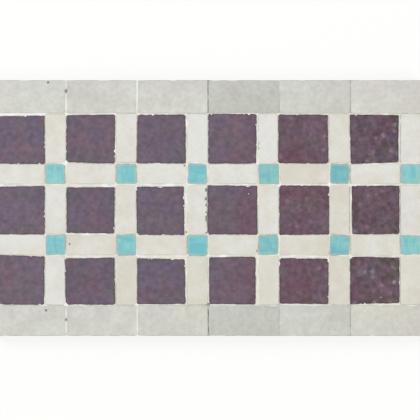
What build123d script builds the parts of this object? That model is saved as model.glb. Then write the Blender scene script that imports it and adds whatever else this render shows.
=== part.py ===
"""Zellige border panel: hand-cut glazed pieces bedded face up in one mortar slab.

The border is a lattice. Dark squares stand in courses, white strips run between them
both ways, and a small turquoise square sits wherever two strips cross. A course of cut
pale grey tiles closes the upper and the lower edge, one tile to each pattern repeat.
Every piece is chiselled by hand: its outline is a little out of square, its corners are
knocked off, its arris is chipped to a small bevel, and its sides lean in towards the
back, so that the mortar keys between the pieces and shows only as a thin joint.

X runs along the border, Y across it towards the upper edge, and Z up out of the glazed
faces. The origin is the centre of the flat back.
"""

import os
import random

from build123d import *

# Pattern, millimetres
repeats = 6  # pattern repeats along the border
square_rows = 3  # courses of dark squares across the border
square_side = 68.8  # face of a dark square
strip_width = 28.8  # face width of a white strip, and side of a turquoise square
upper_edge_depth = 45.8  # face depth of the cut tiles along the upper edge
lower_edge_depth = 41.8  # face depth of the cut tiles along the lower edge
joint = 1.2  # nominal gap between two neighbouring faces
tightest_joint = 0.6  # least gap that crooked cutting leaves

# One piece
piece_thickness = 12.0  # glazed face to clay back
side_lean = 8.0  # degrees that the chiselled sides lean in towards the back
arris = 0.5  # height of the chipped bevel round the face
arris_slope = 45.0  # degrees that the bevel leans in
least_corner_loss = 0.9  # knocked-off corners, measured along the side
most_corner_loss = 2.4
strip_cut_short = 0.9  # most that a corner of a strip falls short of its place
crossing_cut_short = 1.6  # the same for the turquoise squares
edge_cut_short = 0.4  # the same for the cut edge tiles
lippage = 0.5  # most that one face sits lower than the highest

# The corners of a piece in the order that its outline takes them
lower_left, lower_right, upper_right, upper_left = range(4)

# Corners of dark squares that are knocked off further
clipped_corners = {
    ("aubergine_square_row1_2", lower_left): 4.0,
    ("aubergine_square_row1_3", upper_right): 2.8,
    ("aubergine_square_row1_3", upper_left): 2.6,
    ("aubergine_square_row2_3", lower_left): 3.0,
    ("aubergine_square_row2_5", upper_left): 2.8,
    ("aubergine_square_row3_2", lower_left): 3.8,
    ("aubergine_square_row3_5", upper_right): 2.8,
    ("aubergine_square_row3_5", upper_left): 3.0,
    ("aubergine_square_row3_6", upper_left): 4.0,
}

# How far the corners of the dark squares fall short of their places, along X and along Y, as
# judged by eye on the photo; below zero a corner oversteps its place, and what lies beside it is
# cut to fit. A block for each course and a line for each repeat, with the corners in their order.
square_shortfalls = (
    (
        ((0.5, -1.5), (-1.0, -2.0), (-0.5, 2.0), (0.5, 3.0)),
        ((-1.0, 0.5), (0.5, -1.5), (0.0, 0.5), (-0.5, 1.5)),
        ((-1.5, -1.0), (0.5, -1.0), (1.0, 0.5), (-0.5, 0.5)),
        ((-1.0, -1.5), (1.5, -1.5), (1.0, -0.3), (-1.0, -0.3)),
        ((-2.5, -1.0), (0.0, -1.5), (1.0, 1.0), (-2.5, 0.5)),
        ((-0.5, -2.0), (1.5, 0.5), (1.0, 1.5), (-2.0, 0.5)),
    ),
    (
        ((0.5, -1.0), (-1.0, -1.0), (-1.0, 1.0), (0.5, 2.0)),
        ((-0.5, 1.0), (1.5, 0.0), (0.5, 3.0), (-0.5, 3.0)),
        ((-1.0, -1.5), (2.5, -2.0), (3.0, 2.0), (-2.5, 2.0)),
        ((-2.0, -1.0), (-0.5, -1.5), (0.0, 1.0), (-2.0, 0.0)),
        ((-1.0, -2.0), (-1.0, -1.0), (-1.0, 1.0), (-1.0, 0.0)),
        ((1.5, -1.0), (0.0, -0.5), (0.0, 0.5), (1.0, 1.0)),
    ),
    (
        ((0.5, 0.0), (0.0, 0.0), (-1.0, 0.0), (0.5, -2.0)),
        ((-1.5, 0.0), (0.0, 0.0), (1.0, 2.0), (-2.5, 3.0)),
        ((-1.0, 0.5), (1.0, 1.0), (2.0, 4.0), (-1.0, 3.0)),
        ((0.5, 1.0), (2.0, 0.5), (2.5, 0.5), (0.5, 1.5)),
        ((-0.5, 1.5), (0.0, 1.0), (-0.5, 3.5), (-1.0, 2.5)),
        ((-1.0, 0.5), (0.0, 2.5), (0.0, 2.0), (-1.5, 0.5)),
    ),
)

# Mortar
mortar_under_backs = 10.0  # slab below the pieces
grout_recess = 1.0  # joint surface below the highest faces

# Worked out from the sizes above
corner_stray = (joint - tightest_joint) / 2
any_shortfall = -joint  # what a piece needs where nothing beside it oversteps
module = square_side + strip_width + 2 * joint
edge_tile_length = square_side + joint + strip_width
square_to_strip = (square_side + strip_width) / 2 + joint
panel_length = repeats * module
band_depth = square_rows * module - strip_width - joint
panel_depth = upper_edge_depth + lower_edge_depth + 2 * joint + band_depth
face_level = mortar_under_backs + piece_thickness
band_top = panel_depth / 2 - joint - upper_edge_depth


def hand_work(low, high, *where):
    """A deviation between low and high that is the same on every build of one place."""
    return random.Random(" ".join(map(str, where))).uniform(low, high)


def shortfalls_of(name, most, needed=((any_shortfall, any_shortfall),) * 4):
    """How far a piece's corners fall short along X and Y, by hand and at least as far as needed."""
    shortfalls = []
    for corner, least in enumerate(needed):
        by_hand = [hand_work(-corner_stray, most, name, corner, axis) for axis in "xy"]
        shortfalls.append([max(pair) for pair in zip(by_hand, least)])
    return shortfalls


def square_corner(row, repeat, corner):
    """A dark square's shortfalls at a corner. Past the last repeat comes the next panel's first."""
    course = square_shortfalls[row % len(square_shortfalls)]
    return course[repeat % repeats % len(course)][corner]


def room_for(short):
    """How far a piece has to fall short to leave a joint to a neighbour with that shortfall."""
    return tightest_joint - joint - short


def cut_piece(name, centre, length, depth, shortfalls):
    """One piece: a crooked four-sided face, cornered, leant in to its back and chipped."""
    outline = []
    for (side_x, side_y), (short_x, short_y) in zip(((-1, -1), (1, -1), (1, 1), (-1, 1)), shortfalls):
        x = centre[0] + side_x * (length / 2 - short_x)
        y = centre[1] + side_y * (depth / 2 - short_y)
        outline.append((x, y))
    widest = Polygon(*outline, align=None)
    body = mirror(extrude(widest, piece_thickness - arris, taper=side_lean), about=Plane.XY)
    bevel = extrude(widest, arris, taper=arris_slope)
    cornered = widest
    for number, corner in enumerate(outline):
        usual_loss = hand_work(least_corner_loss, most_corner_loss, name, number, "loss")
        loss = clipped_corners.get((name, number), usual_loss)
        cornered = chamfer(cornered.vertices().sort_by_distance(corner)[0], loss)
    piece = (body + bevel) & extrude(cornered, piece_thickness, both=True)
    drop = hand_work(0, lippage, name, "drop")
    return Pos(0, 0, face_level - drop - arris) * piece


def repeat_left(repeat):
    """X of the left edge of a pattern repeat."""
    return repeat * module - panel_length / 2


def square_x(repeat):
    """X of the centre of the dark squares in a repeat."""
    return repeat_left(repeat) + (joint + square_side) / 2


def square_y(row):
    """Y of the centre of a course of dark squares, counted down from the upper edge."""
    return band_top - row * module - (joint + square_side) / 2


def dark_squares():
    """The dark squares, one node each."""
    for row in range(square_rows):
        for repeat in range(repeats):
            name = f"aubergine_square_row{row + 1}_{repeat + 1}"
            centre = (square_x(repeat), square_y(row))
            shorts = [square_corner(row, repeat, corner) for corner in range(4)]
            yield name, [cut_piece(name, centre, square_side, square_side, shorts)]


def crossing_squares():
    """The turquoise squares where the strips cross, one node each."""
    for row in range(square_rows - 1):
        for repeat in range(repeats):
            name = f"turquoise_square_row{row + 1}_{repeat + 1}"
            centre = (square_x(repeat) + square_to_strip, square_y(row) - square_to_strip)
            across_corners = (
                square_corner(row + 1, repeat, upper_right),
                square_corner(row + 1, repeat + 1, upper_left),
                square_corner(row, repeat + 1, lower_left),
                square_corner(row, repeat, lower_right),
            )
            needed = [(room_for(max(shorts)),) * 2 for shorts in across_corners]
            shorts = shortfalls_of(name, crossing_cut_short, needed)
            yield name, [cut_piece(name, centre, strip_width, strip_width, shorts)]


def white_strips():
    """The white strips, those of one repeat that stand alike together in one node."""
    for repeat in range(repeats):
        name = f"white_upright_strips_{repeat + 1}"
        strips = []
        for row in range(square_rows):
            place = f"{name} row {row + 1}"
            centre = (square_x(repeat) + square_to_strip, square_y(row))
            beside = (
                square_corner(row, repeat, lower_right),
                square_corner(row, repeat + 1, lower_left),
                square_corner(row, repeat + 1, upper_left),
                square_corner(row, repeat, upper_right),
            )
            shorts = shortfalls_of(place, strip_cut_short, [(room_for(x), any_shortfall) for x, _ in beside])
            strips.append(cut_piece(place, centre, strip_width, square_side, shorts))
        yield name, strips
        name = f"white_lying_strips_{repeat + 1}"
        strips = []
        for row in range(square_rows - 1):
            place = f"{name} row {row + 1}"
            centre = (square_x(repeat), square_y(row) - square_to_strip)
            beside = (
                square_corner(row + 1, repeat, upper_left),
                square_corner(row + 1, repeat, upper_right),
                square_corner(row, repeat, lower_right),
                square_corner(row, repeat, lower_left),
            )
            shorts = shortfalls_of(place, strip_cut_short, [(any_shortfall, room_for(y)) for _, y in beside])
            strips.append(cut_piece(place, centre, square_side, strip_width, shorts))
        yield name, strips


def edge_tiles():
    """The cut grey tiles of the upper and lower edge courses, one node each."""
    courses = (("upper", 1, upper_edge_depth), ("lower", -1, lower_edge_depth))
    for course, side, depth in courses:
        centre_y = side * (panel_depth - joint - depth) / 2
        for repeat in range(repeats):
            name = f"grey_{course}_edge_tile_{repeat + 1}"
            centre = (repeat_left(repeat) + module / 2, centre_y)
            shorts = shortfalls_of(name, edge_cut_short)
            yield name, [cut_piece(name, centre, edge_tile_length, depth, shorts)]


def mortar_bed(pieces):
    """The slab cast over the backs: it fills the joints and has a pocket for every piece."""
    slab_height = face_level - grout_recess
    slab = Box(panel_length, panel_depth, slab_height, align=(Align.CENTER, Align.CENTER, Align.MIN))
    return slab - pieces


def main():
    """Builds every node and writes one STEP file for each."""
    os.makedirs("parts", exist_ok=True)
    nodes = dict([*dark_squares(), *crossing_squares(), *white_strips(), *edge_tiles()])
    nodes["mortar_bed"] = [mortar_bed([piece for pieces in nodes.values() for piece in pieces])]
    for name, pieces in nodes.items():
        solids = [solid for piece in pieces for solid in piece.solids()]
        node = solids[0] if len(solids) == 1 else Compound(solids)
        node.label = name
        export_step(node, f"parts/{name}.step")
    print(f"panel {panel_length} x {panel_depth} x {face_level} mm, {len(nodes)} nodes")


main()
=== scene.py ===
"""Dresses the zellige border panel: chipped glazed pieces, grouted mortar and a plain studio stage.

Every glazed piece is modelled again round the outline that the frame gives for it. Its face waves a little,
its edge is chipped back to the bare clay in places, and its sides lean in to the back. The mortar fills the
joints between the pieces, rises and sinks along them, and is a rough casting at its sides.
"""

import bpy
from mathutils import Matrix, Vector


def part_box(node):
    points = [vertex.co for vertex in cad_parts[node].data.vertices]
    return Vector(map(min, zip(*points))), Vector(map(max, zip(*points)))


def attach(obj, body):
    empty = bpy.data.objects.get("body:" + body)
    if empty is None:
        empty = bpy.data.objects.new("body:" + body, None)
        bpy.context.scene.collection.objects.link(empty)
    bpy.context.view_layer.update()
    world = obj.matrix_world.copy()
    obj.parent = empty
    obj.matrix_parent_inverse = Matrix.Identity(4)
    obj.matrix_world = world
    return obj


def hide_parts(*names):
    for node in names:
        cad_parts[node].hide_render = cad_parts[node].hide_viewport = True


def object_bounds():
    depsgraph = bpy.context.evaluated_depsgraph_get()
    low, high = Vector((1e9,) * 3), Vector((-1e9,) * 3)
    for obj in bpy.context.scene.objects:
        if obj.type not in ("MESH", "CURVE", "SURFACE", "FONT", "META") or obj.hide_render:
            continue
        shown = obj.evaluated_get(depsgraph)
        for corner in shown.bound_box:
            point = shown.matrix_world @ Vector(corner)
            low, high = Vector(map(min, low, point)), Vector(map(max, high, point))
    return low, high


bl_info = {
    "name": "Zellige Border Panel",
    "version": (1, 0, 0),
    "blender": (4, 5, 0),
    "location": "View3D > Sidebar > Zellige",
    "description": "Models the glazed pieces and the mortar of a zellige border panel",
    "category": "Object",
}

import math
import random

import bmesh
import bpy
import numpy as np
from bpy.props import FloatProperty, FloatVectorProperty, IntProperty, PointerProperty
from bpy.types import Operator, Panel, PropertyGroup
from mathutils import Vector, noise

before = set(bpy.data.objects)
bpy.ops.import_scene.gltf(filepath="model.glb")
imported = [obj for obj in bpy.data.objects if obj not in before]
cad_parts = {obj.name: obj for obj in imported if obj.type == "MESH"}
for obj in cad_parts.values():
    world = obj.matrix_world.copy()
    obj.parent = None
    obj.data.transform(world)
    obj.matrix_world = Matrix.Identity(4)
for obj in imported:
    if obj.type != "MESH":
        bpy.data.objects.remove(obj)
cad_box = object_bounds()

MM = 0.001
BODY = "root"
SIDES_OF_A_FACE = 4
LOWER, RIGHT, UPPER, LEFT = range(SIDES_OF_A_FACE)
TOUCHING = 1e-6  # metres
SAME_LEVEL = 0.01 * MM
SHARP_ANGLE = math.radians(40)
NOISE_SEEDS = (0, 100)  # range of the seeds for the relief of a piece
FINISH_SEEDS = (0, 50)  # the same for its finish

# Mesh of a glazed piece
FEWEST_CELLS = 6  # along a side
SPOT_CELL_SHARE = 0.3  # finest spacing round a spot, as a share of that in the middle of the face
RING_DEPTHS = (0.3, 1.0)  # where its sides have a ring of points, as shares of its thickness
LEAN_SHARE = 0.7  # share of the lean that its sides take, which leaves room for their lumps
SIDE_LUMP_SHARE = 0.35  # how much the lumps change that lean

# Chips at the edge of a glazed piece
TIDIEST_SIDE = 0.1  # roughness of the neatest side, where that of the roughest is 1
SMALL_CHIPS = 1.6  # above 1, small chips are more common than large ones
SHALLOWEST_CHIP = 0.45  # least depth of a chip, as a share of its half length
CHIP_ODDS = 1.6  # odds of a chip on a side of roughness 1
CHIP_BLUNTNESS = 1.8  # above 1, a chip is blunter than a notch
CHIP_SLOPE = 0.9  # drop of a chip for its reach into the face
FINE_BREAKS = 3  # fine breaks to the length of one ragged break

# Spots of dirt
SPOT_MESH_REACHES = (3, 2)  # where the mesh gets finer round a spot, in radii of it
SPOT_REACH = 2  # farthest that the dirt of a spot counts, in radii of it
SPOT_LUMP_SIZE = 1.3 * MM  # lumps in the outline of a spot

# Grain of every glazed finish
CRUMBLE_SIZE = 1.1 * MM  # along the broken line of the glaze
GRAIN_SIZE = 1.6 * MM
GRAIN_BUMP = 0.02 * MM
GLAZE_BUMP = 0.12 * MM
CLAY_ROUGHNESS = 0.9

# Mortar
LEVEL_REACH = 8 * MM  # how far off a piece still counts for the level of a joint
LEVEL_BLEND = 0.6 * MM  # width over which the level goes from one piece to the next
SEAM_REACH = 3 * MM  # half width of the seam after an edge tile, and size of its knocked-off corners
SURFACE_LUMP_SIZES = (6 * MM, 2.2 * MM)  # large and small lumps in the surface of the joints
HOLLOW_REACH = 1.5 * MM  # how far from the pieces a wide joint is at its deepest
FRESH_LENGTH = 14 * MM  # length of a stretch of fresh white mortar
DIRT_AND_SHADE_LAP = 0.8 * MM  # how far the dirt and painted shade reach in under a piece
DIRTY_SHADED_SIDE_WIDTH = 1.2 * MM
DIRTY_SHADED_SIDE_LENGTH = 5 * MM  # length of a stretch of dirt and painted shade along a darkened side
SEAM_LENGTH = 8 * MM  # length of a stretch of darker joint in the seams between the edge tiles
NARROW_LENGTH = 11 * MM  # length of a stretch of dirt in the narrow joints
STRIP_END_WIDTH = 0.6 * MM  # dirt and painted shade along the ends of the strips that meet the edge tiles
STRIP_END_REACH = 2.5 * MM
STRIP_END_DIRT_AND_SHADE = 0.5  # how dark those ends are, from 0 to 1
NARROW_SOIL = 0.45  # the same for the narrow joints
CORNER_SOIL = 0.25  # the same for the knocked-off corners of the edge tiles
SPOT_SOIL = 1.5  # above 1, a spot is wholly dirty well inside its radius
FRESH_SHARE = 0.15  # share of the inner joints that is fresh and white
FRESH_WHITE = 0.9  # how white that mortar is, from 0 to 1
CAST_LUMP_SIZE = 9 * MM
CAST_PIT_SIZE = 2.5 * MM
CAST_RINGS = (0.95, 0.84, 0.72, 0.58, 0.44, 0.3, 0.16, 0.05, 0.0)  # shares of the height of the cast sides

# Stage, metres
KEY_PLACE = (-2.2, 1.9, 2.9)
FILL_PLACE = (2.4, -1.6, 2.7)
FLOOR_HALF = 20
FLOOR_GAP = 0.2 * MM

# Large chips on the dark squares: side, share of the way along it anticlockwise, and half length
# and depth in millimetres.
LARGE_CHIPS = {
    "aubergine_square_row1_1": ((RIGHT, 0.42, 2.6, 0.6), (UPPER, 0.55, 9.0, 0.7)),
    "aubergine_square_row1_2": ((RIGHT, 0.78, 3.0, 0.8), (RIGHT, 0.66, 2.0, 0.7)),
    "aubergine_square_row1_3": ((UPPER, 0.85, 7.0, 1.1), (LOWER, 0.45, 3.0, 0.9)),
    "aubergine_square_row1_4": (
        (UPPER, 0.26, 2.6, 1.0), (RIGHT, 0.38, 2.2, 0.9), (LEFT, 0.14, 2.2, 0.8), (LEFT, 0.3, 2.6, 0.8),
        (LEFT, 0.47, 2.4, 0.7), (LEFT, 0.66, 3.0, 0.9), (LEFT, 0.84, 2.2, 0.7),
    ),
    "aubergine_square_row1_5": ((LOWER, 0.6, 2.4, 0.9), (RIGHT, 0.55, 1.6, 0.8), (LEFT, 0.5, 3.0, 0.8)),
    "aubergine_square_row2_1": ((LOWER, 0.3, 4.0, 0.8), (LOWER, 0.7, 3.0, 0.7)),
    "aubergine_square_row2_2": ((LOWER, 0.25, 2.6, 0.7),),
    "aubergine_square_row2_3": (
        (UPPER, 0.5, 5.0, 1.7), (RIGHT, 0.78, 4.0, 1.6), (LOWER, 0.55, 3.2, 1.3), (LOWER, 0.88, 2.0, 1.0),
        (RIGHT, 0.2, 2.0, 0.9),
    ),
    "aubergine_square_row2_4": (
        (UPPER, 0.18, 3.6, 2.0), (LOWER, 0.54, 2.2, 1.0), (LOWER, 0.65, 2.2, 0.8), (LOWER, 0.77, 2.6, 0.9),
    ),
    "aubergine_square_row2_5": (
        (UPPER, 0.12, 2.4, 0.8), (UPPER, 0.3, 2.6, 0.7), (UPPER, 0.55, 3.6, 0.9), (UPPER, 0.85, 3.2, 0.8),
        (LOWER, 0.66, 6.0, 0.7),
    ),
    "aubergine_square_row3_1": ((UPPER, 0.28, 1.2, 1.7), (UPPER, 0.08, 1.0, 1.0), (RIGHT, 0.68, 2.0, 1.1)),
    "aubergine_square_row3_2": ((LEFT, 0.4, 2.0, 1.0), (RIGHT, 0.55, 3.0, 1.0), (RIGHT, 0.35, 2.4, 0.8)),
    "aubergine_square_row3_3": ((UPPER, 0.25, 3.4, 1.5), (UPPER, 0.7, 2.6, 1.2), (RIGHT, 0.86, 2.4, 1.0)),
    "aubergine_square_row3_5": (
        (RIGHT, 0.15, 2.0, 1.5), (RIGHT, 0.45, 2.6, 0.9), (UPPER, 0.3, 4.0, 1.0), (UPPER, 0.62, 3.0, 0.8),
        (LEFT, 0.1, 5.0, 1.6),
    ),
    "aubergine_square_row3_6": ((UPPER, 0.35, 2.6, 0.9), (LOWER, 0.2, 3.4, 1.0), (LEFT, 0.32, 3.0, 0.9)),
}

# Spots where dirt has settled in a pit, a chip or a joint: X, Y and radius in millimetres.
DIRT_SPOTS = (
    (-225.4, 176.6, 2.2), (-200.1, 164.6, 2.6), (-228.2, -144.0, 2.4), (-200.1, -157.6, 2.4),
    (57.4, 26.8, 1.5), (68.9, -60.1, 1.9), (-33.4, 59.6, 1.7), (71.2, 91.5, 1.4), (71.6, 84.2, 1.3),
    (-30.7, -33.9, 1.5), (-3.3, 26.6, 1.8), (-3.2, 24.4, 1.9), (-3.2, 14.3, 1.7), (-3.5, 12.2, 2.1),
    (-3.0, 5.4, 1.6), (-2.9, 3.2, 1.6), (-3.0, -5.8, 1.5), (-2.9, -12.0, 1.7), (-2.9, -14.8, 1.9),
    (-2.9, -17.8, 1.6), (-3.0, -34.9, 1.5),
    (-195.0, -50.5, 1.8), (238.0, -121.8, 1.9), (267.4, -131.9, 1.8),
)

# Pale pinholes where a bubble has burst the glaze: X, Y and radius in millimetres.
PINHOLES = (
    (56.6, 20.3, 1.2), (240.8, -125.9, 0.7), (242.3, -125.7, 0.9), (243.8, -125.9, 0.9),
    (245.4, -125.8, 0.8),
)

# Sides whose joints are darkened over their length with dirt and painted shade: of the pieces of a node, or
# of one that is numbered from the lower edge.
DIRTY_AND_SHADED_SIDES = {
    "aubergine_square_row1_1": (RIGHT,),
    "aubergine_square_row1_3": (LEFT,),
    "aubergine_square_row1_5": (RIGHT,),
    "aubergine_square_row2_2": (RIGHT,),
    "aubergine_square_row2_4": (LEFT,),
    "aubergine_square_row3_2": (RIGHT,),
    "turquoise_square_row1_1": (LEFT, RIGHT),
    "turquoise_square_row1_2": (LEFT, RIGHT, UPPER),
    "turquoise_square_row1_5": (RIGHT, UPPER, LOWER),
    "turquoise_square_row1_6": (LEFT,),
    "turquoise_square_row2_1": (RIGHT,),
    "turquoise_square_row2_2": (LEFT, UPPER, LOWER),
    "turquoise_square_row2_3": (LEFT, UPPER, LOWER),
    "turquoise_square_row2_4": (LEFT, UPPER),
    "turquoise_square_row2_5": (UPPER,),
    "turquoise_square_row2_6": (LEFT,),
    "white_lying_strips_6": (LEFT,),
    "white_upright_strips_5 1": (RIGHT,),
    "white_upright_strips_6": (LEFT,),
}

# Lines of dirt and painted shade in the joints along each family: how dark, how wide in millimetres, the
# share of the joints that have them, the length of a stretch in millimetres, and the seed of its noise.
DIRT_AND_SHADE_LINES = {
    "white": (0.45, 0.5, 0.5, 20, 21.0),
    "turquoise": (0.45, 0.8, 0.8, 9, 23.0),
    "grey": (0.50, 0.6, 0.8, 14, 27.0),
    "aubergine": (0.55, 0.8, 0.45, 16, 29.0),
}


def srgb(red, green, blue):
    """A screen colour, each part from 11 to 255, as the linear colour that shaders take."""
    return tuple(((part / 255 + 0.055) / 1.055) ** 2.4 for part in (red, green, blue))


def length_property(name, description, default, **limits):
    """A length in metres."""
    options = {"subtype": "DISTANCE", "unit": "LENGTH", **limits}
    return FloatProperty(name=name, description=description, default=default, **options)


def colour_property(name, description, default):
    """A linear colour."""
    options = {"subtype": "COLOR", "min": 0, "max": 1}
    return FloatVectorProperty(name=name, description=description, default=default, **options)


def biscuit_property(default):
    """The colour of the bare clay of one family."""
    return colour_property("Biscuit", "Bare clay where the glaze is chipped off", default)


def share_property(name, description, default):
    """A share from 0 to 1."""
    options = {"subtype": "FACTOR", "min": 0, "max": 1}
    return FloatProperty(name=name, description=description, default=default, **options)


def wear_property(default):
    """How worn the pieces of one family are."""
    return share_property("Wear", "How rough the cut edges are", default)


def roughness_property(default):
    """How rough the glaze of one family is."""
    options = {"size": len(default), "min": 0, "max": 1}
    description = "Roughness of the glaze where it is smoothest and where it is roughest"
    return FloatVectorProperty(name="Roughness", description=description, default=default, **options)


def broken_line_dirt_and_shade_property(default):
    """How bright the bare clay of one family is where the glaze ends, darkened there by dirt and painted
    shade.
    """
    return share_property("Broken line", "Brightness of the clay where the glaze ends", default)


def repeat_property(name, description, default, least=0.0, most=1.0):
    """A number for each pattern repeat along the border."""
    options = {"size": len(default), "min": least, "max": most}
    return FloatVectorProperty(name=name, description=description, default=default, **options)


def strength_property(name, description, default, unit="NONE"):
    """The strength of a light."""
    return FloatProperty(name=name, description=description, default=default, min=0, unit=unit)


class CutSettings(PropertyGroup):
    """How the pieces are cut: the same chisel works every family, more roughly on some."""

    cell: length_property("Cell", "Mesh spacing in the middle of a face", 1.9 * MM, min=0.5 * MM)
    finest_band: length_property("Finest band", "Width along the edge that has the finest mesh", 2.4 * MM)
    chip_spacing: length_property("Chip spacing", "Length of edge to a chip on the roughest pieces", 20 * MM)
    shortest_chip: length_property("Shortest chip", "Half length of the smallest chip", 0.8 * MM)
    longest_chip: length_property("Longest chip", "Half length of the largest chip", 2.4 * MM)
    deepest_chip: length_property("Deepest chip", "Most that a chip reaches into the face", 2.0 * MM)
    ragged: length_property("Ragged", "How far the glaze breaks back between the chips", 0.75 * MM)
    ragged_length: length_property("Ragged length", "Length of one break along the edge", 5.5 * MM)
    arris: length_property("Arris", "Drop of the broken edge where no chip is", 0.35 * MM)
    shoulder: length_property("Shoulder", "Width over which the glaze rolls down to its edge", 1.1 * MM)
    roll: length_property("Roll", "How far the glaze rolls down there", 0.12 * MM)
    crumb_size: length_property("Crumb size", "Size of the crumbs on bare clay", 0.9 * MM)
    crumb_height: length_property("Crumb height", "Height of those crumbs", 0.1 * MM)
    pit_depth: length_property("Pit depth", "Depth of the pits that hold dirt", 0.5 * MM)
    wave_height: length_property("Wave height", "Height of the waves in a face", 0.16 * MM)
    wave_length: length_property("Wave length", "Length of the waves in a face", 19 * MM)
    side_lump: length_property("Side lump", "Size of the lumps on the chiselled sides", 6 * MM)
    side_lean: FloatProperty(
        name="Side lean", description="Lean of the sides towards the back", default=math.radians(8),
        subtype="ANGLE",
    )


class AubergineSettings(PropertyGroup):
    """The dark squares."""

    violet: colour_property("Violet", "Dusty violet of most squares", srgb(107, 92, 109))
    plum: colour_property("Plum", "Redder brown-violet of the other squares", srgb(105, 72, 87))
    blue_cloud: colour_property("Blue cloud", "Cool clouds in the glaze", srgb(98, 90, 112))
    red_cloud: colour_property("Red cloud", "Warm clouds in the glaze", srgb(118, 90, 104))
    grey_cloud: colour_property("Grey cloud", "Dull green-grey clouds in the glaze", srgb(102, 95, 100))
    olive: colour_property("Olive", "Brown-green patches on the plum squares", srgb(92, 79, 76))
    # The pale flecks are painted glints: highlights of reflected light painted into the colour.
    lilac_glint: colour_property("Lilac fleck", "Cool pale flecks on the plum squares", srgb(146, 135, 147))
    tan_glint: colour_property("Tan fleck", "Warm pale flecks on the plum squares", srgb(136, 114, 109))
    pit: colour_property("Pit", "Dirt in the pits", srgb(76, 68, 70))
    biscuit: biscuit_property(srgb(224, 219, 207))
    broken_line_dirt_and_shade: broken_line_dirt_and_shade_property(0.45)
    roughness: roughness_property((0.16, 0.34))
    cloud_size: length_property("Cloud size", "Size of the clouds in the glaze", 26 * MM)
    mottle_size: length_property("Mottle size", "Size of the light and dark mottling", 6.5 * MM)
    patch_size: length_property("Patch size", "Size of the brown-green patches", 22 * MM)
    # The pale flecks that this spaces are painted glints.
    glint_spacing: length_property("Fleck spacing", "Spacing of the pale flecks", 13.5 * MM)
    plum_share: repeat_property(
        "Plum share", "How plum the squares of each repeat are", (0.02, 0.04, 0.06, 0.42, 0.95, 0.75)
    )
    plum_drift: repeat_property(
        "Plum drift", "How much plummer a square is at its right side than in its middle",
        (0.0, 0.0, 0.0, 0.5, 0.0, 0.0), least=-1.0,
    )
    # This sets the olive patches, the stronger mottle, and how many painted glints the squares show.
    fleck_and_glint_share: repeat_property(
        "Fleck share", "How flecked the squares of each repeat are", (0.0, 0.0, 0.0, 0.1, 0.45, 1.0)
    )
    lightness: repeat_property(
        "Lightness", "How much lighter or darker the squares of each repeat are",
        (0.05, -0.03, -0.01, 0.02, 0.0, -0.12), least=-0.5, most=0.5,
    )
    wear: wear_property(1.0)


class TurquoiseSettings(PropertyGroup):
    """The small squares at the crossings."""

    deep: colour_property("Deep", "Deeper turquoise where the glaze is thick", srgb(112, 188, 198))
    pale: colour_property("Pale", "Paler turquoise where it is thin", srgb(146, 207, 205))
    rim: colour_property("Rim", "Greyed turquoise where the glaze runs out at its edge", srgb(176, 194, 186))
    biscuit: biscuit_property(srgb(200, 196, 180))
    broken_line_dirt_and_shade: broken_line_dirt_and_shade_property(0.8)
    roughness: roughness_property((0.12, 0.22))
    cloud_size: length_property("Cloud size", "Size of the pale clouds", 14 * MM)
    streak_size: length_property("Streak size", "Size of the deep streaks", 7 * MM)
    pale_of_repeat: repeat_property(
        "Pale share", "How pale the squares of each repeat are", (0.6, 0.5, 0.35, 0.75, 0.45, 0.75)
    )
    tone_of_repeat: repeat_property(
        "Tone", "How light or dark the squares of each repeat are",
        (0.4, 0.4, 0.6, -1.0, -0.9, 0.0), least=-2.0, most=2.0,
    )
    wear: wear_property(0.4)


class WhiteSettings(PropertyGroup):
    """The white strips."""

    milk: colour_property("Milk", "Cool milky white", srgb(229, 229, 223))
    cream: colour_property("Cream", "Warm white", srgb(219, 214, 200))
    blush: colour_property("Blush", "Faint pink-beige patches", srgb(225, 215, 205))
    biscuit: biscuit_property(srgb(216, 213, 202))
    broken_line_dirt_and_shade: broken_line_dirt_and_shade_property(0.85)
    roughness: roughness_property((0.14, 0.26))
    cloud_size: length_property("Cloud size", "Size of the warm and cool clouds", 22 * MM)
    mottle_size: length_property("Mottle size", "Size of the fine mottling", 5 * MM)
    cream_share: repeat_property(
        "Cream share", "How creamy the strips of each repeat are", (0.24, 0.58, 0.3, 0.27, 0.75, 0.4)
    )
    cream_drift: repeat_property(
        "Cream drift", "How much creamier the strips of each repeat get to the lower edge",
        (-0.25, 0.7, 0.7, 0.45, 0.1, 0.25), least=-1.0,
    )
    wear: wear_property(0.45)


class GreySettings(PropertyGroup):
    """The cut tiles along the upper and lower edges."""

    pearl: colour_property("Pearl", "Cool pale grey", srgb(215, 217, 208))
    stone: colour_property("Stone", "Warmer and darker grey", srgb(206, 204, 194))
    pit: colour_property("Pit", "Dirt in the pinholes", srgb(120, 120, 108))
    biscuit: biscuit_property(srgb(204, 204, 193))
    broken_line_dirt_and_shade: broken_line_dirt_and_shade_property(0.8)
    roughness: roughness_property((0.16, 0.30))
    cloud_size: length_property("Cloud size", "Size of the clouds in the glaze", 24 * MM)
    mottle_size: length_property("Mottle size", "Size of the fine mottling", 6 * MM)
    pit_size: length_property("Pit size", "Size of the noise that scatters the pinholes", 3.6 * MM)
    stone_of_repeat: repeat_property(
        "Stone share", "How much warmer or cooler the tiles of each repeat are",
        (0.1, 0.25, 0.3, -0.25, 0.0, 0.5), least=-1.0,
    )
    tone_of_repeat: repeat_property(
        "Tone", "How light or dark the tiles of each repeat are",
        (0.2, 0.15, 0.15, -1.2, -0.3, 0.5), least=-2.0, most=2.0,
    )
    tone_drift: repeat_property(
        "Tone drift", "How much lighter a tile is at its right side than in its middle",
        (-0.2, 0.34, 0.15, -0.1, -0.2, -0.23), least=-1.0,
    )
    wear: wear_property(0.35)


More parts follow.
